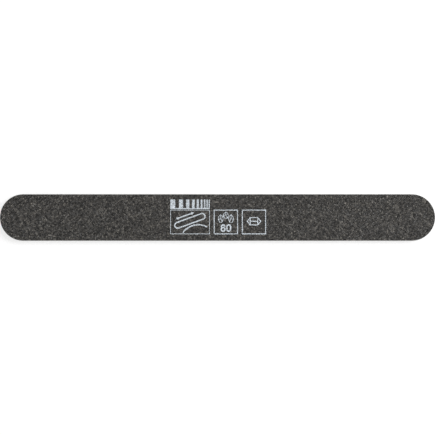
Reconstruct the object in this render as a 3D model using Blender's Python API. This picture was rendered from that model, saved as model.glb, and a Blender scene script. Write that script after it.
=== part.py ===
"""Sanding stick: abrasive paper on both faces of a foam board with a stiff core, printed on one face.

Run it in Blender 4.5, from the text editor or with blender --background --python part.py.
Dimensions are in millimetres, and become metres where an object is made. +X runs along the stick,
+Y across it, and +Z up through its layers. The origin is the centre of the lower face, so the
stick lies on the plane z = 0 with its printed face up.

The stick is die-cut from a glued board, so every layer has the same round-ended outline and its
own thickness. A thin bond line of glue is left between neighbouring layers, and nothing moves.
"""
import math

import bpy

MM = 0.001

# ---- Outline of the die-cut board ----
LENGTH = 178.0
WIDTH = 19.0
END_STEPS = 48                  # straight steps round each half-circle end

# ---- Layers, from either face to the middle ----
THICKNESS = 4.0
BOND_LINE = 0.02                # glue between two layers
GRAIN_COAT = 0.22               # coarse silicon-carbide grains locked in the size coat
MAKE_COAT = 0.06                # resin that the grains stand in
BACKING_PAPER = 0.28
ADHESIVE_FILM = 0.08            # double-sided film
CORE_SHEET = 0.50               # rigid styrene in the middle

BOND_LINES = 12                 # between thirteen layers
SKIN = GRAIN_COAT + MAKE_COAT + BACKING_PAPER + 2 * ADHESIVE_FILM
FOAM = (THICKNESS - CORE_SHEET - 2 * SKIN - BOND_LINES * BOND_LINE) / 2

# ---- Print: three frames in a row, with a coarseness scale over the first ----
INK = 0.02
INK_GAP = 0.01                  # the ink film's underside above the grain tips
FRAME_LINE = 0.36
WIDE_FRAME_LINE = 0.22          # the wide frame is drawn finer
FRAME_HEIGHT = 9.72             # frame sizes are to the middle of their lines
WIDE_FRAME = 15.9
SQUARE_FRAME = 9.55
FRAME_SPACING = 1.95            # from one frame's line to the next frame's
PRINT_LEFT = -19.2
PRINT_Y = -1.83                 # middle of the row of frames

LEFT_FRAME_X = PRINT_LEFT + WIDE_FRAME / 2
MIDDLE_FRAME_X = PRINT_LEFT + WIDE_FRAME + FRAME_SPACING + SQUARE_FRAME / 2
RIGHT_FRAME_X = MIDDLE_FRAME_X + SQUARE_FRAME + FRAME_SPACING

# ---- Coarseness scale: bars that grow finer from left to right ----
SCALE_BARS = 9
SCALE_HEIGHT = 3.9
SCALE_RULE = 0.4                # the strip that the bars stand on
SCALE_GAP = 0.3                 # from the frame's line to the strip
BAR_RATIO = 0.82                # width of each bar over the one before it
GAP_TO_BAR = 0.78               # width of a gap over that of the bar on its left

# ---- Sanding-stroke mark in the wide frame: a tilted stick on a curved edge ----
STROKE_LINE = 0.53
STROKE_TILT = 20.0
STROKE_CENTRE = (LEFT_FRAME_X - 0.05, PRINT_Y + 0.47)
STICK_MARK_LENGTH = 13.5
STICK_MARK_WIDTH = 2.9
WORK_RADIUS = 8.0
WORK_GAP = 0.5
WORK_FROM = 42.0
WORK_TO = 124.0
ARROW_CENTRE = (-1.2, 2.65)
ARROW_HALF_LENGTH = 4.0
ARROW_HEAD = 1.2
ARROW_HEAD_HALF_WIDTH = 0.65

# ---- Grit mark in the middle frame: three grains over the grit number ----
GRAIN_LINE = 0.25
SIDE_GRAIN = (2.0, 3.1)
TOP_GRAIN = (2.1, 2.6)
SIDE_GRAIN_X = 2.1
SIDE_GRAIN_Y = 1.4
TOP_GRAIN_Y = 2.75
DIGIT_HEIGHT = 3.15
DIGIT_LINE = 0.57
DIGIT_X = 1.16
DIGIT_Y = -2.46
ZERO_WIDTH = 2.05
EIGHT_TOP_RADIUS = 0.90
EIGHT_BOTTOM_RADIUS = 1.02
ROUND_STEPS = 28                # straight steps round a digit's loop

# ---- Crystal mark in the right frame ----
CRYSTAL_LINE = 0.38
CRYSTAL_LENGTH = 5.5
CRYSTAL_HEIGHT = 3.0
CRYSTAL_PRISM = 3.1             # length of the crystal between its two tips
CRYSTAL_Y = 0.3


# ---------------------------------------------------------------- outlines, as lists of points

def arc(centre, radius, start, end, steps):
    """Points along an arc, with both ends, at angles in degrees."""
    angles = [math.radians(start + (end - start) * step / steps) for step in range(steps + 1)]
    return [(centre[0] + radius * math.cos(a), centre[1] + radius * math.sin(a)) for a in angles]


def stadium(length, width, steps):
    """A strip with half-circle ends, along X about the origin."""
    middle = (length - width) / 2
    right = arc((middle, 0.0), width / 2, -90.0, 90.0, steps)
    left = arc((-middle, 0.0), width / 2, 90.0, 270.0, steps)
    return right + left


def rectangle(width, height):
    """A rectangle about the origin."""
    x = width / 2
    y = height / 2
    return [(-x, -y), (x, -y), (x, y), (-x, y)]


def placed(ring, centre, turn=0.0):
    """A ring turned about the origin, in degrees, and then moved to its place."""
    cosine = math.cos(math.radians(turn))
    sine = math.sin(math.radians(turn))
    return [(centre[0] + x * cosine - y * sine, centre[1] + x * sine + y * cosine) for x, y in ring]


def inset(ring, distance):
    """A convex anticlockwise ring with every edge moved inwards, or outwards when distance is negative."""
    lines = []
    for (x0, y0), (x1, y1) in zip(ring, ring[1:] + ring[:1]):
        span = math.hypot(x1 - x0, y1 - y0)
        normal = ((y0 - y1) / span, (x1 - x0) / span)
        lines.append((normal, normal[0] * x0 + normal[1] * y0 + distance))
    corners = []
    for (before, reach), (after, next_reach) in zip(lines[-1:] + lines[:-1], lines):
        cross = before[0] * after[1] - before[1] * after[0]
        x = (reach * after[1] - next_reach * before[1]) / cross
        y = (before[0] * next_reach - after[0] * reach) / cross
        corners.append((x, y))
    return corners


def faceted(outline, facets, line):
    """Rings of a mark that draws a crystal's outline and the edges between its facets."""
    return [inset(outline, -line / 2)] + [inset(facet, line / 2) for facet in facets]


# ---------------------------------------------------------------- finishes and flat pieces

def finish(name, colour, roughness):
    """A Principled material of one colour."""
    material = bpy.data.materials.new(name)
    material.use_nodes = True
    shader = material.node_tree.nodes["Principled BSDF"]
    shader.inputs["Base Color"].default_value = (*colour, 1.0)
    shader.inputs["Roughness"].default_value = roughness
    shader.inputs["Metallic"].default_value = 0.0
    return material


def flat_piece(name, rings, bottom, height, material, collection):
    """A plate between two heights: the first ring is its edge, and any others are holes in it."""
    curve = bpy.data.curves.new(name, "CURVE")
    curve.dimensions = "2D"
    curve.fill_mode = "BOTH"
    curve.extrude = height / 2 * MM
    for ring in rings:
        spline = curve.splines.new("POLY")
        spline.points.add(len(ring) - 1)
        spline.use_cyclic_u = True
        for point, (x, y) in zip(spline.points, ring):
            point.co = (x * MM, y * MM, 0.0, 1.0)
    curve.materials.append(material)
    piece = bpy.data.objects.new(name, curve)
    piece.location.z = (bottom + height / 2) * MM
    collection.objects.link(piece)


# ---------------------------------------------------------------- the board

def board(collection):
    """Thirteen die-cut layers, stacked from the lower face up."""
    grit = finish("grit", (0.060, 0.058, 0.055), 0.85)
    resin = finish("resin", (0.035, 0.032, 0.030), 0.45)
    paper = finish("paper", (0.10, 0.095, 0.09), 0.90)
    adhesive = finish("adhesive", (0.72, 0.70, 0.64), 0.40)
    foam = finish("foam", (0.33, 0.33, 0.32), 0.80)
    styrene = finish("styrene", (0.80, 0.80, 0.78), 0.45)
    half = [
        ("grain_coat", GRAIN_COAT, grit),
        ("make_coat", MAKE_COAT, resin),
        ("backing_paper", BACKING_PAPER, paper),
        ("paper_adhesive", ADHESIVE_FILM, adhesive),
        ("foam", FOAM, foam),
        ("core_adhesive", ADHESIVE_FILM, adhesive),
    ]
    lower = [(name + "_lower", height, material) for name, height, material in half]
    upper = [(name + "_upper", height, material) for name, height, material in reversed(half)]
    outline = stadium(LENGTH, WIDTH, END_STEPS)
    bottom = 0.0
    for name, height, material in lower + [("core_sheet", CORE_SHEET, styrene)] + upper:
        flat_piece(name, [outline], bottom, height, material, collection)
        bottom += height + BOND_LINE


# ---------------------------------------------------------------- the print

def frame_rings(width, line, x):
    """A frame's outer and inner edges."""
    outer = rectangle(width + line, FRAME_HEIGHT + line)
    inner = rectangle(width - line, FRAME_HEIGHT - line)
    return [placed(outer, (x, PRINT_Y)), placed(inner, (x, PRINT_Y))]


def scale_rings():
    """Bars in a falling series of widths, standing on one strip as wide as the frame below it."""
    total = WIDE_FRAME + WIDE_FRAME_LINE
    shares = [BAR_RATIO ** bar for bar in range(SCALE_BARS)]
    first = total / (sum(shares) + GAP_TO_BAR * sum(shares[:-1]))
    left = LEFT_FRAME_X - total / 2
    bottom = PRINT_Y + (FRAME_HEIGHT + WIDE_FRAME_LINE) / 2 + SCALE_GAP
    step = bottom + SCALE_RULE
    top = bottom + SCALE_HEIGHT
    ring = [(left + total, bottom)]
    bars = []
    x = left
    for share in shares:
        bars.append((x, x + first * share))
        x += first * share * (1 + GAP_TO_BAR)
    for bar_left, bar_right in reversed(bars):
        ring += [(bar_right, step), (bar_right, top), (bar_left, top), (bar_left, step)]
    ring += [(left, bottom)]
    return [without_straight_corners(ring)]


def without_straight_corners(ring):
    """A ring without the points where it runs straight on."""
    kept = []
    for before, point, after in zip(ring[-1:] + ring[:-1], ring, ring[1:] + ring[:1]):
        along = (point[0] - before[0]) * (after[1] - point[1])
        across = (point[1] - before[1]) * (after[0] - point[0])
        if abs(along - across) > 1e-9:
            kept.append(point)
    return kept


def stick_mark_rings():
    """The outline of a tilted stick."""
    outer = stadium(STICK_MARK_LENGTH, STICK_MARK_WIDTH, ROUND_STEPS // 2)
    hole = (STICK_MARK_LENGTH - 2 * STROKE_LINE, STICK_MARK_WIDTH - 2 * STROKE_LINE)
    inner = stadium(*hole, ROUND_STEPS // 2)
    return [placed(outer, STROKE_CENTRE, STROKE_TILT), placed(inner, STROKE_CENTRE, STROKE_TILT)]


def work_line_rings():
    """The curved edge that the stick is rubbed along."""
    centre = (0.0, -(STICK_MARK_WIDTH / 2 + WORK_GAP + WORK_RADIUS))
    outer = arc(centre, WORK_RADIUS, WORK_FROM, WORK_TO, ROUND_STEPS)
    inner = arc(centre, WORK_RADIUS - STROKE_LINE, WORK_TO, WORK_FROM, ROUND_STEPS)
    return [placed(outer + inner, STROKE_CENTRE, STROKE_TILT)]


def stroke_arrow_rings():
    """An arrow with a head at each end, along the stick's stroke."""
    half = STROKE_LINE / 2
    neck = ARROW_HALF_LENGTH - ARROW_HEAD
    right = [(neck, -half), (neck, -ARROW_HEAD_HALF_WIDTH), (ARROW_HALF_LENGTH, 0.0),
             (neck, ARROW_HEAD_HALF_WIDTH), (neck, half)]
    left = [(-x, -y) for x, y in right]
    arrow = placed(right + left, ARROW_CENTRE)
    return [placed(arrow, STROKE_CENTRE, STROKE_TILT)]


def grain_rings(size, centre, mirror=1.0):
    """A broken grain of seven corners, drawn as three facets that meet at one point."""
    corners = [(-0.10, 1.00), (-0.85, 0.45), (-1.00, -0.30), (-0.40, -1.00)]
    corners += [(0.55, -0.95), (1.00, -0.10), (0.70, 0.65)]
    meeting = (0.05, 0.05)
    facets = [corners[0:3] + [meeting], corners[2:5] + [meeting], corners[4:7] + corners[0:1] + [meeting]]
    rings = faceted(*scaled_to([corners] + facets, size, mirror), GRAIN_LINE)
    return [placed(ring, (MIDDLE_FRAME_X + centre[0], PRINT_Y + centre[1])) for ring in rings]


def scaled_to(rings, size, mirror):
    """An outline and its facets stretched to a width and height, anticlockwise even when mirrored."""
    stretched = [[(x * mirror * size[0] / 2, y * size[1] / 2) for x, y in ring] for ring in rings]
    if mirror < 0:
        stretched = [list(reversed(ring)) for ring in stretched]
    return stretched[0], stretched[1:]


def zero_rings():
    """The number nought: an upright ring with straight sides."""
    outer = stadium(DIGIT_HEIGHT, ZERO_WIDTH, ROUND_STEPS // 2)
    inner = stadium(DIGIT_HEIGHT - 2 * DIGIT_LINE, ZERO_WIDTH - 2 * DIGIT_LINE, ROUND_STEPS // 2)
    centre = (MIDDLE_FRAME_X + DIGIT_X, PRINT_Y + DIGIT_Y)
    return [placed(outer, centre, 90.0), placed(inner, centre, 90.0)]


def eight_rings():
    """The number eight: two round loops that share the bar between their holes."""
    top = DIGIT_HEIGHT / 2 - EIGHT_TOP_RADIUS
    bottom = EIGHT_BOTTOM_RADIUS - DIGIT_HEIGHT / 2
    span = top - bottom
    rise = (span ** 2 + EIGHT_BOTTOM_RADIUS ** 2 - EIGHT_TOP_RADIUS ** 2) / (2 * span)
    waist = math.sqrt(EIGHT_BOTTOM_RADIUS ** 2 - rise ** 2)
    top_start = math.degrees(math.atan2(rise - span, waist))
    bottom_start = math.degrees(math.atan2(rise, -waist))
    upper = arc((0.0, top), EIGHT_TOP_RADIUS, top_start, 180.0 - top_start, ROUND_STEPS)
    lower = arc((0.0, bottom), EIGHT_BOTTOM_RADIUS, bottom_start, 540.0 - bottom_start, ROUND_STEPS)
    upper_hole = arc((0.0, top), EIGHT_TOP_RADIUS - DIGIT_LINE, 0.0, 360.0, ROUND_STEPS)
    lower_hole = arc((0.0, bottom), EIGHT_BOTTOM_RADIUS - DIGIT_LINE, 0.0, 360.0, ROUND_STEPS)
    rings = [upper[:-1] + lower[:-1], upper_hole[:-1], lower_hole[:-1]]
    return [placed(ring, (MIDDLE_FRAME_X - DIGIT_X, PRINT_Y + DIGIT_Y)) for ring in rings]


def crystal_rings():
    """A six-sided crystal on its side: two pointed ends and two long faces between them."""
    tip = CRYSTAL_LENGTH / 2
    shoulder = CRYSTAL_PRISM / 2
    half = CRYSTAL_HEIGHT / 2
    lower = [(-tip, 0.0), (-shoulder, -half), (shoulder, -half)]
    outline = lower + [(-x, -y) for x, y in lower]
    facets = [
        [(-tip, 0.0), (-shoulder, -half), (-shoulder, half)],
        [(tip, 0.0), (shoulder, half), (shoulder, -half)],
        placed(rectangle(CRYSTAL_PRISM, half), (0.0, half / 2)),
        placed(rectangle(CRYSTAL_PRISM, half), (0.0, -half / 2)),
    ]
    rings = faceted(outline, facets, CRYSTAL_LINE)
    return [placed(ring, (RIGHT_FRAME_X, PRINT_Y + CRYSTAL_Y)) for ring in rings]


def print_marks(collection):
    """The ink films on the upper grit, each one piece of ink."""
    ink = finish("ink", (0.62, 0.65, 0.67), 0.60)
    marks = {
        "ink_coarseness_scale": scale_rings(),
        "ink_frame_left": frame_rings(WIDE_FRAME, WIDE_FRAME_LINE, LEFT_FRAME_X),
        "ink_frame_middle": frame_rings(SQUARE_FRAME, FRAME_LINE, MIDDLE_FRAME_X),
        "ink_frame_right": frame_rings(SQUARE_FRAME, FRAME_LINE, RIGHT_FRAME_X),
        "ink_stick_outline": stick_mark_rings(),
        "ink_work_line": work_line_rings(),
        "ink_stroke_arrow": stroke_arrow_rings(),
        "ink_grain_left": grain_rings(SIDE_GRAIN, (-SIDE_GRAIN_X, SIDE_GRAIN_Y)),
        "ink_grain_top": grain_rings(TOP_GRAIN, (0.0, TOP_GRAIN_Y)),
        "ink_grain_right": grain_rings(SIDE_GRAIN, (SIDE_GRAIN_X, SIDE_GRAIN_Y), mirror=-1.0),
        "ink_digit_8": eight_rings(),
        "ink_digit_0": zero_rings(),
        "ink_crystal": crystal_rings(),
    }
    for name, rings in marks.items():
        flat_piece(name, rings, THICKNESS + INK_GAP, INK, ink, collection)


def main():
    for old in list(bpy.data.objects):
        bpy.data.objects.remove(old)
    stick = bpy.data.collections.new("sanding_stick")
    bpy.context.scene.collection.children.link(stick)
    board(stick)
    print_marks(stick)


main()
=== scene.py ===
# %% [markdown]
# # A sanding stick, layer by layer
#
# The object is a flat sanding stick: a die-cut board with coarse abrasive paper on both faces, a
# soft foam sheet under each paper and a stiff styrene strip in the middle. One face carries a
# print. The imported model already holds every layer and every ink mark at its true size, so this
# lesson is about surfaces: grains that are real facets, ink that lies on them, and the cut edge
# where all the layers show.
#
# Everything is in metres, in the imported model's own frame. X runs along the stick, Y across it
# and Z up through the layers, with the plane z = 0 under the stick.

# %% The fixed frame
import math
import random

import bpy
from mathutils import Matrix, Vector


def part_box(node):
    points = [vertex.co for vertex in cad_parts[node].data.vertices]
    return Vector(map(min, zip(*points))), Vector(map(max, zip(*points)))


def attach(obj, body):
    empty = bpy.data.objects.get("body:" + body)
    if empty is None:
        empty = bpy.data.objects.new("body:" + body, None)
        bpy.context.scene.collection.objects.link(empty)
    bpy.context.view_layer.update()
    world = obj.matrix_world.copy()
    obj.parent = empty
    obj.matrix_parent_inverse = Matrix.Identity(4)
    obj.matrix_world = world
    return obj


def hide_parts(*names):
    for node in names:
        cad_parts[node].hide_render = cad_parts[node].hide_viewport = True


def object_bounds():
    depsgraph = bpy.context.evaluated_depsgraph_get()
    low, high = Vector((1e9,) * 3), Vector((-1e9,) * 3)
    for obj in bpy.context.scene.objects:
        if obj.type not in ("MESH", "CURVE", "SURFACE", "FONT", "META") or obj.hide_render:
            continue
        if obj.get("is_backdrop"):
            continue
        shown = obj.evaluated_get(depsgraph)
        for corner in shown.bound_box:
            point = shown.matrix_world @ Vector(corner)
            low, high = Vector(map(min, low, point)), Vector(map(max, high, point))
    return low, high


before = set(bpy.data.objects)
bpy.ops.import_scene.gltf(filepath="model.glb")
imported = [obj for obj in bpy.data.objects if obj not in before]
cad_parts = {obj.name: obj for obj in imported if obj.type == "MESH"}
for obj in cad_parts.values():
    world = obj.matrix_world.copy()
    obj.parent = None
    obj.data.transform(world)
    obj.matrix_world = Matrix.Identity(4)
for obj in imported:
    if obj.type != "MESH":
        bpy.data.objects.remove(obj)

MM = 0.001
CAD_LOW, CAD_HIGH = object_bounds()
LENGTH = CAD_HIGH.x - CAD_LOW.x
WIDTH = CAD_HIGH.y - CAD_LOW.y
END_RADIUS = WIDTH / 2
END_CENTRE = LENGTH / 2 - END_RADIUS
print(f"board {LENGTH / MM:.1f} x {WIDTH / MM:.1f} mm, {len(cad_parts)} packed nodes")

# %% [markdown]
# ## Camera
#
# The stick is seen square from above and fills the view from end to end. A long lens far away
# keeps the cut edge out of sight and both ends the same size. The camera's height follows from
# three facts: the lens, the sensor's width and how wide a strip of the stick's upper face has to
# fit. The stick's length is a hair more than that strip, so both ends touch the view's edges.

# %% Camera
LENS = 100.0
SENSOR = 36.0
FILL = 1.0006

view_width = LENGTH / FILL
camera_height = CAD_HIGH.z + view_width * LENS / SENSOR
bpy.ops.object.select_all(action="DESELECT")
bpy.ops.object.camera_add(location=(0, 0, camera_height), rotation=(0, 0, 0))
camera = bpy.context.object
camera.name = "camera"
camera.data.lens = LENS
camera.data.sensor_width = SENSOR
camera.data.clip_start = 0.01
camera.data.clip_end = 10
bpy.context.scene.camera = camera
print(f"camera {camera.location.z / MM:.0f} mm above the bench")

# %% [markdown]
# ## Light
#
# Grit shows by contrast between its facets, and that needs light from one side. Flat white light
# from everywhere would wash it out. So one broad panel stands high on the right as the main
# light, with a weaker one low on the left to keep the shaded facets open. A broad panel gives
# soft shadows, as a studio tent does.

# %% Two panels


def panel(name, place, size, watts):
    """A square area light that faces the middle of the stick."""
    bpy.ops.object.light_add(type="AREA", location=place)
    lamp = bpy.context.object
    lamp.name = name
    lamp.data.shape = "SQUARE"
    lamp.data.size = size
    lamp.data.energy = watts
    lamp.rotation_euler = Vector(place).to_track_quat("Z", "Y").to_euler()
    print(f"{name}: {watts} W, {size} m square, {Vector(place).length:.2f} m away")


panel("main_panel", (0.48, 0.20, 0.60), 0.50, 6.0)
panel("fill_panel", (-0.55, -0.30, 0.50), 0.60, 1.6)
bpy.context.scene.view_settings.view_transform = "Standard"

# %% [markdown]
# ## Colours and nodes
#
# Colours are written the way a paint chart or a web page gives them, as sRGB hex values. A
# shader works with linear light, so one function turns them. One more function adds any node
# with its settings and its links, which keeps every material below down to a few lines.

# %% Two helpers for every material


def linear(colour):
    """The linear RGBA of an sRGB hex colour, such as 8a8780."""
    channels = [int(colour[place:place + 2], 16) / 255 for place in (0, 2, 4)]
    return (*[c / 12.92 if c <= 0.04045 else ((c + 0.055) / 1.055) ** 2.4 for c in channels], 1.0)


def add_node(tree, kind, inputs=None, **settings):
    """Adds a node. Each input is a value, or another node's output to link."""
    made = tree.nodes.new(kind)
    for name, value in settings.items():
        setattr(made, name, value)
    for socket, value in (inputs or {}).items():
        if isinstance(value, bpy.types.NodeSocket):
            tree.links.new(value, made.inputs[socket])
        else:
            made.inputs[socket].default_value = value
    return made


def blank_material(name):
    """A material with only a Principled shader, and its tree and shader."""
    material = bpy.data.materials.new(name)
    material.use_nodes = True
    return material, material.node_tree, material.node_tree.nodes["Principled BSDF"]


print(f"mid grey 808080 is {linear('808080')[0]:.3f} in linear light")

# %% [markdown]
# ## Table
#
# The stick lies on a plain white table that runs out of view. White paint alone would turn grey
# wherever less light falls, so the table is a sheet of opal acrylic that glows a little from
# within as well as reflecting. It stays white close to the stick, as a back-lit table does.

# %% Table
TABLE_SIZE = 8.0
TABLE_GLOW = 0.60
CLOUD = 25 * MM


def white_sheet():
    """Opal acrylic, lit from behind: an even white with a faint satin sheen and a fainter cloud."""
    material, tree, shader = blank_material("opal_acrylic_back_lit")
    cloud = add_node(tree, "ShaderNodeTexNoise", {"Scale": 1 / CLOUD, "Detail": 2.0})
    tone = add_node(tree, "ShaderNodeMix", {
        "Factor": cloud.outputs["Fac"], "A": linear("aaaaaa"), "B": linear("b0b0b0"),
    }, data_type="RGBA")
    tree.links.new(tone.outputs["Result"], shader.inputs["Base Color"])
    shader.inputs["Roughness"].default_value = 0.7
    shader.inputs["Emission Color"].default_value = (1.0, 1.0, 1.0, 1.0)
    shader.inputs["Emission Strength"].default_value = TABLE_GLOW
    return material


bpy.ops.object.select_all(action="DESELECT")
bpy.ops.mesh.primitive_plane_add(size=TABLE_SIZE, location=(0, 0, CAD_LOW.z))
table = bpy.context.object
table.name = "table"
table.data.materials.append(white_sheet())
table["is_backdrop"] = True
print(f"table {TABLE_SIZE:.0f} m across")

# %% [markdown]
# ## Sky
#
# What lies beyond the table is a studio's wall and ceiling. A model of the room would cost time
# and show in no view from above, so a gradient stands for it: pale near the horizon, where a low
# camera would see it, and a weak grey overhead. It depends only on how steeply a direction rises.

# %% Sky
HORIZON = 0.92
CEILING = 0.36
HORIZON_BAND = 0.25

world = bpy.data.worlds.new("studio_sky")
world.use_nodes = True
sky = world.node_tree
way = add_node(sky, "ShaderNodeTexCoord").outputs["Generated"]
direction = add_node(sky, "ShaderNodeSeparateXYZ", {"Vector": way})
level = add_node(sky, "ShaderNodeMapRange", {
    "Value": direction.outputs["Z"], "From Max": HORIZON_BAND, "To Min": HORIZON, "To Max": CEILING,
})
sky.nodes["Background"].inputs["Color"].default_value = (1.0, 1.0, 1.0, 1.0)
sky.links.new(level.outputs["Result"], sky.nodes["Background"].inputs["Strength"])
bpy.context.scene.world = world
print(f"sky {HORIZON} at the horizon, {CEILING} overhead")

# %% [markdown]
# ## Working in edit mode
#
# Every new piece below is shaped as by hand, with operators that act on what is selected. These
# helpers open one piece with the right things selected, and close it with a line of print. With
# no mouse to click with, corners, edges and faces are picked by a rule on their place.

# %% Helpers for edit mode


def only(piece):
    """Makes one object the selected and active one, in object mode."""
    if bpy.context.mode != "OBJECT":
        bpy.ops.object.mode_set(mode="OBJECT")
    bpy.ops.object.select_all(action="DESELECT")
    piece.select_set(True)
    bpy.context.view_layer.objects.active = piece


def edit_all(piece, kind="VERT"):
    """Opens one object in edit mode with everything selected."""
    only(piece)
    bpy.ops.object.mode_set(mode="EDIT")
    bpy.ops.mesh.select_mode(type=kind)
    bpy.ops.mesh.select_all(action="SELECT")


def edit_where(piece, rule, kind="VERT"):
    """Opens one object with only those corners, edges or faces selected for which the rule is true."""
    edit_all(piece, kind)
    bpy.ops.mesh.select_all(action="DESELECT")
    bpy.ops.object.mode_set(mode="OBJECT")
    mesh = piece.data
    items = {"VERT": mesh.vertices, "EDGE": mesh.edges, "FACE": mesh.polygons}[kind]
    for item in items:
        item.select = rule(item)
    bpy.ops.object.mode_set(mode="EDIT")


def done(piece):
    """Back to object mode, with the piece's size in a line of print."""
    bpy.ops.object.mode_set(mode="OBJECT")
    triangles = sum(face.loop_total - 2 for face in piece.data.polygons)
    print(f"{piece.name}: {triangles} triangles")
    return piece


def copy_of(piece, name):
    """A copy of a piece with its own mesh."""
    only(piece)
    bpy.ops.object.duplicate()
    copy = bpy.context.object
    copy.name = name
    return copy


# %% [markdown]
# ## Grit
#
# Coated abrasive is made by dusting sharp grains of silicon carbide into wet resin and locking
# them with a second coat. Under a lens it is a field of broken blocks, packed edge to edge, each
# with its own height, tilt and tone. A bump map would give the shading but a smooth silhouette,
# and tens of thousands of loose stones would be heavy. So the grit is one faceted skin, made
# from a flat sheet of cells with one cell for each grain.
#
# First come the cells. A grid is turned to triangles and shaken in small rounds until no row
# shows. Each round is smoothed a little, so no triangle folds over another. Then most triangles
# are joined in pairs to four-sided cells. Grit 80 has grains of about 0.2 mm. They are drawn as
# cells of half a millimetre, because finer ones wouldn't show in the render.

# %% Irregular cells
GRAIN = 0.50 * MM
SPARE_CELLS = 4
SHAKE = 0.40
SHAKE_SEEDS = range(1, 9)
SMOOTHING = 0.25
PAIR_SHAPE = math.radians(50)


def shaken_cells(name, size):
    """A flat sheet of irregular four-sided cells, about a grain wide, at z = 0."""
    columns = math.ceil(size.x / GRAIN) + SPARE_CELLS
    rows = math.ceil(size.y / GRAIN) + SPARE_CELLS
    bpy.ops.mesh.primitive_grid_add(x_subdivisions=columns, y_subdivisions=rows, size=1, location=(0, 0, 0))
    sheet = bpy.context.object
    sheet.name = name
    edit_all(sheet)
    bpy.ops.transform.resize(value=(columns * GRAIN, rows * GRAIN, 1))
    bpy.ops.mesh.quads_convert_to_tris(quad_method="SHORTEST_DIAGONAL")
    for seed in SHAKE_SEEDS:
        bpy.ops.transform.vertex_random(offset=SHAKE * GRAIN, uniform=0, normal=0, seed=seed)
        bpy.ops.transform.resize(value=(1, 1, 0))
        bpy.ops.mesh.vertices_smooth(factor=SMOOTHING)
        bpy.ops.mesh.beautify_fill(angle_limit=math.pi)
    bpy.ops.mesh.tris_convert_to_quads(face_threshold=math.pi, shape_threshold=PAIR_SHAPE)
    return done(sheet)


# %% [markdown]
# The board is die-cut after it is glued, so the knife goes through grains and leaves a clean
# rim. A Boolean with the outline could do that too, but a bisect is quicker and keeps the sheet
# flat: one plane for each straight edge, and a fan of planes round each half-circle end, as many
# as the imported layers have. Slivers left at the rim are closed up.

# %% Cutting a sheet to the stick's outline
END_PLANES = 48
TOLERANCE = 0.001 * MM
SMALLEST_EDGE = 0.06 * MM


def cut_lines():
    """A point on each straight edge of the outline, with the direction that points out of it."""
    lines = [(Vector((0, side * END_RADIUS, 0)), Vector((0, side, 0))) for side in (-1, 1)]
    reach = END_RADIUS * math.cos(math.pi / END_PLANES / 2)
    for step in range(END_PLANES):
        angle = math.pi * ((step + 0.5) / END_PLANES - 0.5)
        outward = Vector((math.cos(angle), math.sin(angle), 0))
        for side in (-1, 1):
            turned = Vector((side * outward.x, outward.y, 0))
            lines.append((Vector((side * END_CENTRE, 0, 0)) + turned * reach, turned))
    return lines


def die_cut(sheet):
    """Cuts a flat sheet with every line of the outline, and closes up the slivers left at the rim."""
    edit_all(sheet)
    for point, outward in cut_lines():
        bpy.ops.mesh.select_all(action="SELECT")
        bpy.ops.mesh.bisect(plane_co=point, plane_no=outward, clear_outer=True, threshold=TOLERANCE)
    bpy.ops.mesh.select_all(action="SELECT")
    bpy.ops.mesh.remove_doubles(threshold=SMALLEST_EDGE)
    return done(sheet)


# %% [markdown]
# Now each cell rises to a block. By hand that would be an individual extrude and a scale, with a
# new random amount for each of some fifteen thousand cells. A node group does just that in one
# pass: it gives each cell a tone, extrudes it by a share of its own width, shrinks the block's
# top and moves the top's corners a little, so that no two blocks tilt alike. The tone stays on
# the mesh as the attribute "grain", for the material. Slivers at the rim stay flat.

# %% A node group that raises the grains
HEIGHT_LOW, HEIGHT_HIGH = 0.12, 0.46
TALLEST = 0.36 * GRAIN
TOP_LOW, TOP_HIGH = 0.20, 0.66
CORNER_SHIFT = 0.14
SMALLEST_CELL = 0.08 * GRAIN ** 2


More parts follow.
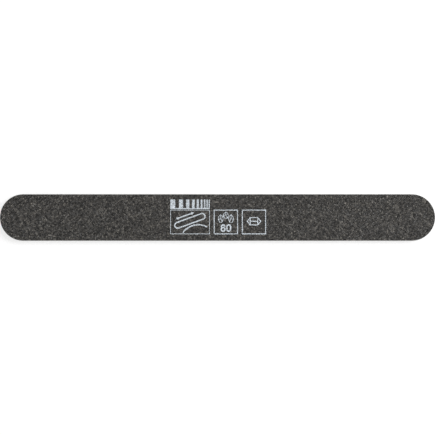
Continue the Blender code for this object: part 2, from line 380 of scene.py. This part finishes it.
def grain_maker():
    """A node group that raises each cell of a sheet to a block with its own height, top and tilt."""
    tree = bpy.data.node_groups.new("grain_maker", "GeometryNodeTree")
    tree.interface.new_socket("Sheet", in_out="INPUT", socket_type="NodeSocketGeometry")
    tree.interface.new_socket("Grit", in_out="OUTPUT", socket_type="NodeSocketGeometry")
    sheet = add_node(tree, "NodeGroupInput").outputs["Sheet"]
    tone = add_node(tree, "FunctionNodeRandomValue", {"Seed": 4})
    toned = add_node(tree, "GeometryNodeStoreNamedAttribute", {
        "Geometry": sheet, "Name": "grain", "Value": tone.outputs["Value"],
    }, domain="FACE")

    area = add_node(tree, "GeometryNodeInputMeshFaceArea").outputs["Area"]
    whole = add_node(tree, "FunctionNodeCompare", {"A": area, "B": SMALLEST_CELL}, operation="GREATER_THAN")
    width = add_node(tree, "ShaderNodeMath", {0: area}, operation="SQRT")
    share = add_node(tree, "FunctionNodeRandomValue", {"Min": HEIGHT_LOW, "Max": HEIGHT_HIGH, "Seed": 5})
    rise = add_node(tree, "ShaderNodeMath", {
        0: width.outputs["Value"], 1: share.outputs["Value"],
    }, operation="MULTIPLY")
    height = add_node(tree, "ShaderNodeMath", {0: rise.outputs["Value"], 1: TALLEST}, operation="MINIMUM")
    raised = add_node(tree, "GeometryNodeExtrudeMesh", {
        "Mesh": toned.outputs["Geometry"], "Selection": whole.outputs["Result"],
        "Offset Scale": height.outputs["Value"], "Individual": True,
    })

    top = add_node(tree, "FunctionNodeRandomValue", {"Min": TOP_LOW, "Max": TOP_HIGH, "Seed": 6})
    shrunk = add_node(tree, "GeometryNodeScaleElements", {
        "Geometry": raised.outputs["Mesh"], "Selection": raised.outputs["Top"],
        "Scale": top.outputs["Value"],
    })
    nudge = add_node(tree, "FunctionNodeRandomValue", {
        "Min": (-CORNER_SHIFT,) * 3, "Max": (CORNER_SHIFT,) * 3, "Seed": 7,
    }, data_type="FLOAT_VECTOR")
    shift = add_node(tree, "ShaderNodeVectorMath", {
        0: nudge.outputs["Value"], "Scale": width.outputs["Value"],
    }, operation="SCALE")
    moved = add_node(tree, "GeometryNodeSetPosition", {
        "Geometry": shrunk.outputs["Geometry"], "Selection": raised.outputs["Top"],
        "Offset": shift.outputs["Vector"],
    })
    add_node(tree, "NodeGroupOutput", {"Grit": moved.outputs["Geometry"]})
    return tree


# %% [markdown]
# The three steps run in turn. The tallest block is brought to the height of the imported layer,
# and the sheet's open rim is filled with one flat face below, so the grit is a closed solid that
# lies on its resin.

# %% The upper face


def grit_sheet(name, node):
    """The grain coat of the upper face: faceted on top and flat below, as high as its packed layer."""
    low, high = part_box(node)
    sheet = die_cut(shaken_cells(name, high - low))
    only(sheet)
    sheet.modifiers.new("grains", "NODES").node_group = grain_maker()
    bpy.ops.object.modifier_apply(modifier="grains")
    tallest = max(corner.co.z for corner in sheet.data.vertices)
    edit_all(sheet)
    bpy.ops.mesh.quads_convert_to_tris(quad_method="BEAUTY", ngon_method="BEAUTY")
    bpy.ops.transform.resize(value=(1, 1, (high.z - low.z) / tallest), center_override=(0, 0, 0))
    bpy.ops.transform.translate(value=(0, 0, low.z))
    bpy.ops.mesh.select_all(action="DESELECT")
    bpy.ops.mesh.select_non_manifold(
        extend=False, use_wire=False, use_boundary=True, use_multi_face=False,
        use_non_contiguous=False, use_verts=False,
    )
    bpy.ops.mesh.edge_face_add()
    bpy.ops.mesh.select_all(action="SELECT")
    bpy.ops.mesh.normals_make_consistent(inside=False)
    return done(sheet)


grit_upper = grit_sheet("grit_upper", "grain_coat_upper")

# %% [markdown]
# The lower face carries the same paper the other way up. Making it again with other seeds would
# cost time for a face that is never seen beside the first. So the finished sheet is copied, with
# a mesh of its own, and turned half a turn about the stick's long middle line.

# %% The lower face
core_low, core_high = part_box("core_sheet")
MIDDLE = (core_low.z + core_high.z) / 2


def turned_over(piece, name):
    """A copy of a piece of the upper half, turned over to its place in the lower half."""
    copy = copy_of(piece, name)
    edit_all(copy)
    bpy.ops.transform.rotate(value=math.pi, orient_axis="X", center_override=(0, 0, MIDDLE))
    return done(copy)


grit_lower = turned_over(grit_upper, "grit_lower")

# %% [markdown]
# Silicon carbide is nearly black and breaks like glass, so each facet is dark until it catches
# the light. The grey of a coated sheet comes from the thin resin over it and from dust of the
# same grains. Each block has its own tone, kept in the attribute that its cell was given. On top
# of that the colour is painted darker low in the gaps between the blocks and paler on their tops,
# by height: painted shade in the gaps, and in part the darker resin there. Three noises add
# what the attribute can't: a slow drift along the sheet, clumps of two or three grains where the
# coating fell thicker, and chips far smaller than a grain that vary the gloss.

# %% Grit finish
grain_low, grain_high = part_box("grain_coat_upper")
GRIT_RELIEF = grain_high.z - grain_low.z
CHIP = 0.09 * MM
CLUMP = 1.0 * MM
DRIFT = 6.0 * MM


def coated_grit():
    """Silicon carbide in a phenolic size coat: dark blocks, a tone for each, and small bright chips."""
    material, tree, shader = blank_material("silicon_carbide_in_size_coat")
    place = add_node(tree, "ShaderNodeTexCoord").outputs["Object"]
    tone = add_node(tree, "ShaderNodeAttribute", attribute_name="grain").outputs["Fac"]
    drift = add_node(tree, "ShaderNodeTexNoise", {"Vector": place, "Scale": 1 / DRIFT, "Detail": 2.0})
    clumps = add_node(tree, "ShaderNodeTexNoise", {"Vector": place, "Scale": 1 / CLUMP, "Detail": 1.0})
    chips = add_node(tree, "ShaderNodeTexNoise", {"Vector": place, "Scale": 1 / CHIP, "Detail": 3.0})

    # most blocks run from black to dark grey, and the palest fifth turn to a dusty grey
    dark = add_node(tree, "ShaderNodeMix", {
        "Factor": tone, "A": linear("0b0a0a"), "B": linear("524f4b"),
    }, data_type="RGBA")
    pale = add_node(tree, "ShaderNodeMapRange", {
        "Value": tone, "From Min": 0.80, "From Max": 1.0, "To Max": 0.7,
    })
    block = add_node(tree, "ShaderNodeMix", {
        "Factor": pale.outputs["Result"], "A": dark.outputs["Result"], "B": linear("78746d"),
    }, data_type="RGBA")

    # painted shade by height: darker low in the gaps between blocks, paler on the tops, both faces
    parts = add_node(tree, "ShaderNodeSeparateXYZ", {"Vector": place})
    height = add_node(tree, "ShaderNodeMath", {0: parts.outputs["Z"], 1: MIDDLE}, operation="SUBTRACT")
    depth = add_node(tree, "ShaderNodeMath", {0: height.outputs["Value"]}, operation="ABSOLUTE")
    resin = grain_low.z - MIDDLE
    painted_gap_shade = add_node(tree, "ShaderNodeMapRange", {
        "Value": depth.outputs["Value"], "From Min": resin, "From Max": resin + GRIT_RELIEF,
        "To Min": 0.58, "To Max": 1.15,
    })

    level = add_node(tree, "ShaderNodeMapRange", {
        "Value": drift.outputs["Fac"], "From Min": 0.3, "From Max": 0.7, "To Min": 0.94, "To Max": 1.06,
    })
    dusty = add_node(tree, "ShaderNodeMapRange", {
        "Value": clumps.outputs["Fac"], "From Min": 0.3, "From Max": 0.7, "To Min": 0.60, "To Max": 1.40,
    })
    even = add_node(tree, "ShaderNodeMath", {
        0: dusty.outputs["Result"], 1: level.outputs["Result"],
    }, operation="MULTIPLY")
    shade = add_node(tree, "ShaderNodeMath", {
        0: painted_gap_shade.outputs["Result"], 1: even.outputs["Value"],
    }, operation="MULTIPLY")
    colour = add_node(tree, "ShaderNodeVectorMath", {
        0: block.outputs["Result"], "Scale": shade.outputs["Value"],
    }, operation="SCALE")
    tree.links.new(colour.outputs["Vector"], shader.inputs["Base Color"])

    gloss = add_node(tree, "ShaderNodeMapRange", {
        "Value": chips.outputs["Fac"], "From Min": 0.35, "From Max": 0.65, "To Min": 0.34, "To Max": 0.62,
    })
    tree.links.new(gloss.outputs["Result"], shader.inputs["Roughness"])
    shader.inputs["IOR"].default_value = 1.6
    bump = add_node(tree, "ShaderNodeBump", {
        "Height": chips.outputs["Fac"], "Strength": 0.5, "Distance": 0.02 * MM,
    })
    tree.links.new(bump.outputs["Normal"], shader.inputs["Normal"])
    return material


grit_finish = coated_grit()
for sheet, node in ((grit_upper, "grain_coat_upper"), (grit_lower, "grain_coat_lower")):
    sheet.data.materials.append(grit_finish)
    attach(sheet, "root")
    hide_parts(node)
    print(f"{sheet.name} takes {grit_finish.name}")

# %% [markdown]
# ## Print
#
# The print is screened on after the grit is locked in, so the ink follows every block and leaves
# the deep gaps between them dark. A flat decal above the grains would float, and ink painted by
# a material would have no edge of its own. Instead each mark is cut out of the grit itself. It
# starts with a closed block of the grit under the print, so that each cut has little to do.

# %% The grit under the print
SPARE = 0.5 * MM
FINE_TOLERANCE = 0.0001 * MM

marks = [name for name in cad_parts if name.startswith("ink_")]


def print_bed():
    """A closed block of grit, a little larger than the print, cut out with four upright planes."""
    low = [min(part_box(name)[0][axis] for name in marks) - SPARE for axis in (0, 1)]
    high = [max(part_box(name)[1][axis] for name in marks) + SPARE for axis in (0, 1)]
    sides = [(low, (-1, 0, 0)), (low, (0, -1, 0)), (high, (1, 0, 0)), (high, (0, 1, 0))]
    block = copy_of(grit_upper, "print_bed")
    edit_all(block)
    for corner, outward in sides:
        bpy.ops.mesh.select_all(action="SELECT")
        bpy.ops.mesh.bisect(
            plane_co=(*corner, 0), plane_no=outward,
            clear_outer=True, use_fill=True, threshold=FINE_TOLERANCE,
        )
    return done(block)


bed = print_bed()

# %% [markdown]
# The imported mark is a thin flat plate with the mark's true outline. Stretched down through the
# grit it becomes a stencil, and a Boolean keeps only the grit inside it. Of what is left, only
# the blocks' tops and slopes take ink: upright cuts, the flat underside and a few blocks that
# the screen missed are deleted, and so is the deepest part of each gap.

# %% Cutting one mark
STENCIL_REACH = 3
PRINTED_FROM = 0.12
UPRIGHT = 0.2
BARE = 0.97


def stencil(name):
    """A copy of a packed mark, merged and stretched through the whole height of the grit."""
    cutter = copy_of(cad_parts[name], f"{name}_stencil")
    low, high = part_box(name)
    edit_all(cutter)
    bpy.ops.mesh.remove_doubles(threshold=TOLERANCE)
    reach = STENCIL_REACH * (high.z - grain_low.z) / (high.z - low.z)
    bpy.ops.transform.resize(value=(1, 1, reach), center_override=(0, 0, high.z))
    bpy.ops.object.mode_set(mode="OBJECT")
    return cutter


def inked_tops(name):
    """The tops of the blocks inside one mark's outline, without the few that the screen missed."""
    tops = copy_of(bed, name.replace("ink_", "print_"))
    cutter = stencil(name)
    only(tops)
    cut = tops.modifiers.new("stencil", "BOOLEAN")
    cut.operation = "INTERSECT"
    cut.object = cutter
    bpy.ops.object.modifier_apply(modifier=cut.name)
    bpy.data.objects.remove(cutter)
    tone = tops.data.attributes["grain"].data
    edit_where(tops, lambda face: face.normal.z < UPRIGHT or tone[face.index].value > BARE, "FACE")
    bpy.ops.mesh.delete(type="FACE")
    bpy.ops.mesh.select_all(action="SELECT")
    deepest = (0, 0, grain_low.z + PRINTED_FROM * GRIT_RELIEF)
    bpy.ops.mesh.bisect(plane_co=deepest, plane_no=(0, 0, 1), clear_inner=True, threshold=FINE_TOLERANCE)
    bpy.ops.object.mode_set(mode="OBJECT")
    return tops


# %% [markdown]
# What is left is a skin with no thickness. It is lifted clear of the grit, and a Solidify
# modifier gives it the thickness of a dried film of ink, with a real edge and a back.

# %% Giving the ink its thickness
INK_FILM = 0.012 * MM
INK_LIFT = 0.004 * MM


def printed_mark(name):
    """One mark as a thin closed film of ink on each block."""
    mark = inked_tops(name)
    edit_all(mark)
    bpy.ops.transform.translate(value=(0, 0, INK_LIFT))
    bpy.ops.object.mode_set(mode="OBJECT")
    film = mark.modifiers.new("film", "SOLIDIFY")
    film.thickness = INK_FILM
    film.offset = 1
    bpy.ops.object.modifier_apply(modifier=film.name)
    return done(mark)


printed = {name: printed_mark(name) for name in marks}
bpy.data.objects.remove(bed)

# %% [markdown]
# Screen ink is a thick white paint with a little blue in it, which keeps it from looking yellow
# on a dark ground. It dries matt. A fine noise thins it in pores, where it goes greyer, smoother
# and a little lower. Real pores are finer still, and are drawn at 0.12 mm so that they show.

# %% Ink finish
PORE = 0.12 * MM


def screen_ink():
    """Screen-printed ink: a cool off-white film, matt, greyer where it ran thin."""
    material, tree, shader = blank_material("screen_printed_ink")
    place = add_node(tree, "ShaderNodeTexCoord").outputs["Object"]
    pores = add_node(tree, "ShaderNodeTexNoise", {"Vector": place, "Scale": 1 / PORE, "Detail": 3.0})
    thick = add_node(tree, "ShaderNodeMapRange", {
        "Value": pores.outputs["Fac"], "From Min": 0.32, "From Max": 0.55,
    })
    colour = add_node(tree, "ShaderNodeMix", {
        "Factor": thick.outputs["Result"], "A": linear("9da4a9"), "B": linear("e6eef5"),
    }, data_type="RGBA")
    tree.links.new(colour.outputs["Result"], shader.inputs["Base Color"])
    gloss = add_node(tree, "ShaderNodeMapRange", {
        "Value": pores.outputs["Fac"], "To Min": 0.5, "To Max": 0.75,
    })
    tree.links.new(gloss.outputs["Result"], shader.inputs["Roughness"])
    bump = add_node(tree, "ShaderNodeBump", {
        "Height": pores.outputs["Fac"], "Strength": 0.3, "Distance": 0.01 * MM,
    })
    tree.links.new(bump.outputs["Normal"], shader.inputs["Normal"])
    return material


ink = screen_ink()
for node, mark in printed.items():
    mark.data.materials.clear()
    mark.data.materials.append(ink)
    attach(mark, "root")
    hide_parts(node)
print(f"{len(printed)} marks take {ink.name}")

# %% [markdown]
# ## Foam
#
# The foam is cut with the board, so only its edge shows, and that edge needs corners close
# enough together for every sliced cell. A plain block cut fine all over would waste them on
# faces that no one sees. So the edge alone is drawn, starting from a wire round the outline: a
# plane loses its face and its two short sides, the long sides are cut into steps, and a corner
# at each end is spun half a turn. A subdivide makes at most 100 cuts, so it is used twice.

# %% The board's outline
ARC_STEPS = 3 * END_PLANES
FOAM_STEP = math.pi * END_RADIUS / ARC_STEPS
FIRST_CUT = 64
SECOND_CUT = round(2 * END_CENTRE / FOAM_STEP / FIRST_CUT)
WELD = 0.01 * MM


def outline_wire(name, height):
    """The board's outline as a closed wire at one height, in steps about as long as a foam cell."""
    bpy.ops.mesh.primitive_plane_add(size=1, location=(0, 0, 0))
    wire = bpy.context.object
    wire.name = name
    edit_all(wire)
    bpy.ops.transform.resize(value=(2 * END_CENTRE, WIDTH, 1))
    bpy.ops.transform.translate(value=(0, 0, height))
    bpy.ops.mesh.delete(type="ONLY_FACE")
    y = [corner.co.y for corner in wire.data.vertices]
    edit_where(wire, lambda edge: y[edge.vertices[0]] * y[edge.vertices[1]] < 0, "EDGE")
    bpy.ops.mesh.delete(type="EDGE")
    for steps in (FIRST_CUT, SECOND_CUT):
        edit_all(wire, "EDGE")
        bpy.ops.mesh.subdivide(number_cuts=steps - 1)
    for side in (-1, 1):
        centre = (side * END_CENTRE, 0, height)
        edit_where(wire, lambda corner: corner.co.y < 0 and side * corner.co.x > END_CENTRE - WELD)
        bpy.ops.mesh.spin(steps=ARC_STEPS, angle=-side * math.pi, center=centre, axis=(0, 0, 1))
    edit_all(wire)
    bpy.ops.mesh.remove_doubles(threshold=WELD)
    return done(wire)


print(f"foam steps of {FOAM_STEP / MM:.3f} mm, {FIRST_CUT * SECOND_CUT} along each straight edge")

# %% [markdown]
# The wire is drawn up in rows to the foam's height. Foam springs back once the knife has passed,
# so between the two stiff papers its edge is slightly hollow and never quite even: the middle
# rows move inwards, and then each of their corners moves a little of its own.

# %% Drawing the foam up
ROWS = 4
HOLLOW = 0.10 * MM
UNEVEN = 0.05 * MM
UNEVEN_SEED = 9


def foam_wall(name, low, high):
    """The foam's cut edge: the outline drawn up in rows, pulled in a little and made uneven."""
    foam = outline_wire(name, low.z)
    rise = (high.z - low.z) / ROWS
    edit_all(foam)
    for row in range(ROWS):
        bpy.ops.mesh.extrude_region_move(TRANSFORM_OT_translate={"value": (0, 0, rise)})
    bpy.ops.mesh.select_all(action="SELECT")
    bpy.ops.mesh.normals_make_consistent(inside=False)
    edit_where(foam, lambda corner: low.z + rise / 2 < corner.co.z < high.z - rise / 2)
    bpy.ops.transform.shrink_fatten(value=-HOLLOW)
    bpy.ops.transform.vertex_random(offset=UNEVEN, uniform=0, normal=0, seed=UNEVEN_SEED)
    return done(foam)


# %% [markdown]
# The knife opens round cells of many sizes. A bevel on a corner between four faces turns it into
# a small round face, and an inset with a depth sinks that face into a cup. Three rounds of this,
# from large cells to small, take corners by the throw of a seeded dice. A corner that touches an
# earlier cell is left out, because its faces no longer have four sides, so no cells overlap.

# %% Slicing the cells
FOUR_SIDED = [4, 4, 4, 4]
CUP_TAPER = 0.3
CELL_SEED = 11

# share of the free corners, radius of the opening, depth of the cup
CELL_SIZES = (
    (0.10, 0.100 * MM, 0.11 * MM),
    (0.16, 0.070 * MM, 0.07 * MM),
    (0.30, 0.045 * MM, 0.04 * MM),
)


def free_corners(piece):
    """For each corner of a mesh, whether it lies between four faces of four sides each."""
    sides = [[] for corner in piece.data.vertices]
    for face in piece.data.polygons:
        for corner in face.vertices:
            sides[corner].append(face.loop_total)
    return [around == FOUR_SIDED for around in sides]


def foam_sheet(name, node):
    """A foam sheet with round sliced cells of three sizes sunk into its edge, closed above and below."""
    low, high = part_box(node)
    foam = foam_wall(name, low, high)
    dice = random.Random(CELL_SEED)
    for share, radius, depth in CELL_SIZES:
        free = free_corners(foam)
        edit_where(foam, lambda corner: free[corner.index] and dice.random() < share)
        bpy.ops.mesh.bevel(offset=radius, segments=2, affect="VERTICES", clamp_overlap=True)
        bpy.ops.mesh.select_mode(type="FACE")
        bpy.ops.mesh.inset(thickness=radius * CUP_TAPER, depth=-depth, use_individual=True)
        bpy.ops.object.mode_set(mode="OBJECT")
    for height in (low.z, high.z):
        edit_where(foam, lambda corner: abs(corner.co.z - height) < TOLERANCE)
        bpy.ops.mesh.edge_face_add()
    edit_all(foam)
    bpy.ops.mesh.normals_make_consistent(inside=False)
    return done(foam)


foam_upper = foam_sheet("foam_sheet_upper", "foam_upper")
foam_lower = turned_over(foam_upper, "foam_sheet_lower")

# %% [markdown]
# The foam is closed-cell polyethylene. A knife opens the cells at its edge, so the surface is
# matt, with thin cell walls around hollows. The larger cells are modelled. The small ones between
# them come from a Voronoi pattern, whose distance to the nearest wall gives the roughness, the
# bump and a tone that is painted shade: darker in the hollows, paler on the walls.

# %% Foam finish
SMALL_CELL = 0.13 * MM


def cut_foam():
    """Closed-cell foam, knife-cut: matt mid grey, with painted shade that darkens the small hollows."""
    material, tree, shader = blank_material("closed_cell_foam_knife_cut")
    place = add_node(tree, "ShaderNodeTexCoord").outputs["Object"]
    cells = add_node(tree, "ShaderNodeTexVoronoi", {
        "Vector": place, "Scale": 1 / SMALL_CELL,
    }, feature="DISTANCE_TO_EDGE")
    drift = add_node(tree, "ShaderNodeTexNoise", {"Vector": place, "Scale": 1 / DRIFT, "Detail": 2.0})
    hollow = add_node(tree, "ShaderNodeMapRange", {
        "Value": cells.outputs["Distance"], "From Min": 0.03, "From Max": 0.30,
    })
    # painted shade: the small cells' hollows are darker than their walls
    tone = add_node(tree, "ShaderNodeMix", {
        "Factor": hollow.outputs["Result"], "A": linear("a9a9a6"), "B": linear("7c7c7a"),
    }, data_type="RGBA")
    level = add_node(tree, "ShaderNodeMapRange", {
        "Value": drift.outputs["Fac"], "From Min": 0.3, "From Max": 0.7, "To Min": 0.95, "To Max": 1.05,
    })
    colour = add_node(tree, "ShaderNodeVectorMath", {
        0: tone.outputs["Result"], "Scale": level.outputs["Result"],
    }, operation="SCALE")
    tree.links.new(colour.outputs["Vector"], shader.inputs["Base Color"])
    gloss = add_node(tree, "ShaderNodeMapRange", {
        "Value": hollow.outputs["Result"], "To Min": 0.65, "To Max": 0.9,
    })
    tree.links.new(gloss.outputs["Result"], shader.inputs["Roughness"])
    shader.inputs["IOR"].default_value = 1.5
    bump = add_node(tree, "ShaderNodeBump", {
        "Height": hollow.outputs["Result"], "Strength": 0.7, "Distance": 0.03 * MM,
    }, invert=True)
    tree.links.new(bump.outputs["Normal"], shader.inputs["Normal"])
    return material


foam_finish = cut_foam()
for sheet, node in ((foam_upper, "foam_upper"), (foam_lower, "foam_lower")):
    sheet.data.materials.append(foam_finish)
    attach(sheet, "root")
    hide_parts(node)
    print(f"{sheet.name} takes {foam_finish.name}")

# %% [markdown]
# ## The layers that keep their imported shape
#
# Paper, resin, glue film and styrene are plain sheets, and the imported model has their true
# shape, so they aren't modelled again. Only their cut edges show. What tells them apart there is
# how each one parts under a knife, and that is a finish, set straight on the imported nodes.

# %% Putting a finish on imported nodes


def finish_nodes(material, *names):
    """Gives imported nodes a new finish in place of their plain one."""
    for name in names:
        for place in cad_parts[name].material_slots:
            place.material = material
    print(f"{material.name}: {', '.join(names)}")


# %% [markdown]
# The backing is a heavy paper, soaked in latex and dyed dark. A knife tears its fibres a little,
# so the edge is matt with paler streaks that lie flat in the sheet. A noise stretched along X
# and Y gives streaks that run that way all round the edge, also at the ends. Paper fibres are
# 0.01 to 0.04 mm wide, and are drawn at the greater width so that they show.

# %% Backing paper
FIBRE_LENGTH = 0.3 * MM
FIBRE_WIDTH = 0.04 * MM


def paper():
    """Latex-treated paper, die-cut: dark and matt, with paler torn fibres that lie in the sheet."""
    material, tree, shader = blank_material("latex_backing_paper_die_cut")
    place = add_node(tree, "ShaderNodeTexCoord").outputs["Object"]
    laid = add_node(tree, "ShaderNodeMapping", {
        "Vector": place, "Scale": (1 / FIBRE_LENGTH, 1 / FIBRE_LENGTH, 1 / FIBRE_WIDTH),
    })
    fibres = add_node(tree, "ShaderNodeTexNoise", {
        "Vector": laid.outputs["Vector"], "Scale": 1.0, "Detail": 4.0, "Roughness": 0.6,
    })
    torn = add_node(tree, "ShaderNodeMapRange", {
        "Value": fibres.outputs["Fac"], "From Min": 0.40, "From Max": 0.70,
    })
    colour = add_node(tree, "ShaderNodeMix", {
        "Factor": torn.outputs["Result"], "A": linear("4a4744"), "B": linear("8d867b"),
    }, data_type="RGBA")
    tree.links.new(colour.outputs["Result"], shader.inputs["Base Color"])
    gloss = add_node(tree, "ShaderNodeMapRange", {
        "Value": torn.outputs["Result"], "To Min": 0.72, "To Max": 0.95,
    })
    tree.links.new(gloss.outputs["Result"], shader.inputs["Roughness"])
    shader.inputs["IOR"].default_value = 1.5
    bump = add_node(tree, "ShaderNodeBump", {
        "Height": fibres.outputs["Fac"], "Strength": 0.6, "Distance": 0.03 * MM,
    })
    tree.links.new(bump.outputs["Normal"], shader.inputs["Normal"])
    return material


finish_nodes(paper(), "backing_paper_upper", "backing_paper_lower")

# %% [markdown]
# The make coat is the resin that the grains were dusted into. Cured phenolic resin is brown and
# half glossy, and where it pooled before it set it is deeper in colour and smoother. One soft
# noise is enough for that.

# %% Make coat
POOL = 0.35 * MM


def make_coat():
    """Phenolic resin, cured: a dark amber-brown line, half glossy, deeper where the resin pooled."""
    material, tree, shader = blank_material("phenolic_make_coat_cured")
    place = add_node(tree, "ShaderNodeTexCoord").outputs["Object"]
    pools = add_node(tree, "ShaderNodeTexNoise", {"Vector": place, "Scale": 1 / POOL, "Detail": 3.0})
    colour = add_node(tree, "ShaderNodeMix", {
        "Factor": pools.outputs["Fac"], "A": linear("2a211c"), "B": linear("443831"),
    }, data_type="RGBA")
    tree.links.new(colour.outputs["Result"], shader.inputs["Base Color"])
    gloss = add_node(tree, "ShaderNodeMapRange", {
        "Value": pools.outputs["Fac"], "From Min": 0.3, "From Max": 0.7, "To Min": 0.30, "To Max": 0.55,
    })
    tree.links.new(gloss.outputs["Result"], shader.inputs["Roughness"])
    shader.inputs["IOR"].default_value = 1.6
    bump = add_node(tree, "ShaderNodeBump", {
        "Height": pools.outputs["Fac"], "Strength": 0.4, "Distance": 0.02 * MM,
    })
    tree.links.new(bump.outputs["Normal"], shader.inputs["Normal"])
    return material


finish_nodes(make_coat(), "make_coat_upper", "make_coat_lower")

# %% [markdown]
# The glue is an acrylic film from a roll, cream and satin, with small air bubbles caught when
# the sheets were pressed together. A Voronoi pattern's distance from each cell's point gives
# round bubbles, where the film is paler, glossier and slightly domed.

# %% Adhesive film
BUBBLE = 0.16 * MM


def glue_film():
    """Acrylic double-sided film: cream, satin, with small round bubbles."""
    material, tree, shader = blank_material("acrylic_adhesive_film")
    place = add_node(tree, "ShaderNodeTexCoord").outputs["Object"]
    bubbles = add_node(tree, "ShaderNodeTexVoronoi", {"Vector": place, "Scale": 1 / BUBBLE})
    clear = add_node(tree, "ShaderNodeMapRange", {
        "Value": bubbles.outputs["Distance"], "From Min": 0.20, "From Max": 0.35,
    })
    colour = add_node(tree, "ShaderNodeMix", {
        "Factor": clear.outputs["Result"], "A": linear("f1ede2"), "B": linear("d9d4c4"),
    }, data_type="RGBA")
    tree.links.new(colour.outputs["Result"], shader.inputs["Base Color"])
    gloss = add_node(tree, "ShaderNodeMapRange", {
        "Value": clear.outputs["Result"], "To Min": 0.28, "To Max": 0.45,
    })
    tree.links.new(gloss.outputs["Result"], shader.inputs["Roughness"])
    shader.inputs["IOR"].default_value = 1.47
    bump = add_node(tree, "ShaderNodeBump", {
        "Height": clear.outputs["Result"], "Strength": 0.3, "Distance": 0.01 * MM,
    }, invert=True)
    tree.links.new(bump.outputs["Normal"], shader.inputs["Normal"])
    return material


finish_nodes(
    glue_film(),
    "paper_adhesive_upper", "core_adhesive_upper", "core_adhesive_lower", "paper_adhesive_lower",
)

# %% [markdown]
# The core is a strip of extruded polystyrene sheet. The blade leaves fine upright marks on its
# satin edge. A noise stretched along Z gives them: close together round the edge, and as long as
# the sheet is thick.

# %% Styrene core
BLADE_MARK = 0.10 * MM
BLADE_REACH = 2 * MM


def styrene():
    """Extruded polystyrene sheet, die-cut: off-white and satin, with fine upright marks of the blade."""
    material, tree, shader = blank_material("polystyrene_sheet_die_cut")
    place = add_node(tree, "ShaderNodeTexCoord").outputs["Object"]
    upright = add_node(tree, "ShaderNodeMapping", {
        "Vector": place, "Scale": (1 / BLADE_MARK, 1 / BLADE_MARK, 1 / BLADE_REACH),
    })
    streaks = add_node(tree, "ShaderNodeTexNoise", {
        "Vector": upright.outputs["Vector"], "Scale": 1.0, "Detail": 3.0,
    })
    colour = add_node(tree, "ShaderNodeMix", {
        "Factor": streaks.outputs["Fac"], "A": linear("dddcd6"), "B": linear("efeee9"),
    }, data_type="RGBA")
    tree.links.new(colour.outputs["Result"], shader.inputs["Base Color"])
    gloss = add_node(tree, "ShaderNodeMapRange", {
        "Value": streaks.outputs["Fac"], "From Min": 0.3, "From Max": 0.7, "To Min": 0.32, "To Max": 0.55,
    })
    tree.links.new(gloss.outputs["Result"], shader.inputs["Roughness"])
    shader.inputs["IOR"].default_value = 1.59
    bump = add_node(tree, "ShaderNodeBump", {
        "Height": streaks.outputs["Fac"], "Strength": 0.4, "Distance": 0.015 * MM,
    })
    tree.links.new(bump.outputs["Normal"], shader.inputs["Normal"])
    return material


finish_nodes(styrene(), "core_sheet")

# %% [markdown]
# ## Size
#
# Both boxes are printed, the imported model's and the finished one's, one axis to a line.

# %% Both boxes
made_low, made_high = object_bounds()
for axis, letter in enumerate("XYZ"):
    packed = (CAD_HIGH[axis] - CAD_LOW[axis]) / MM
    made = (made_high[axis] - made_low[axis]) / MM
    print(f"{letter}: packed {packed:.3f} mm, finished {made:.3f} mm")
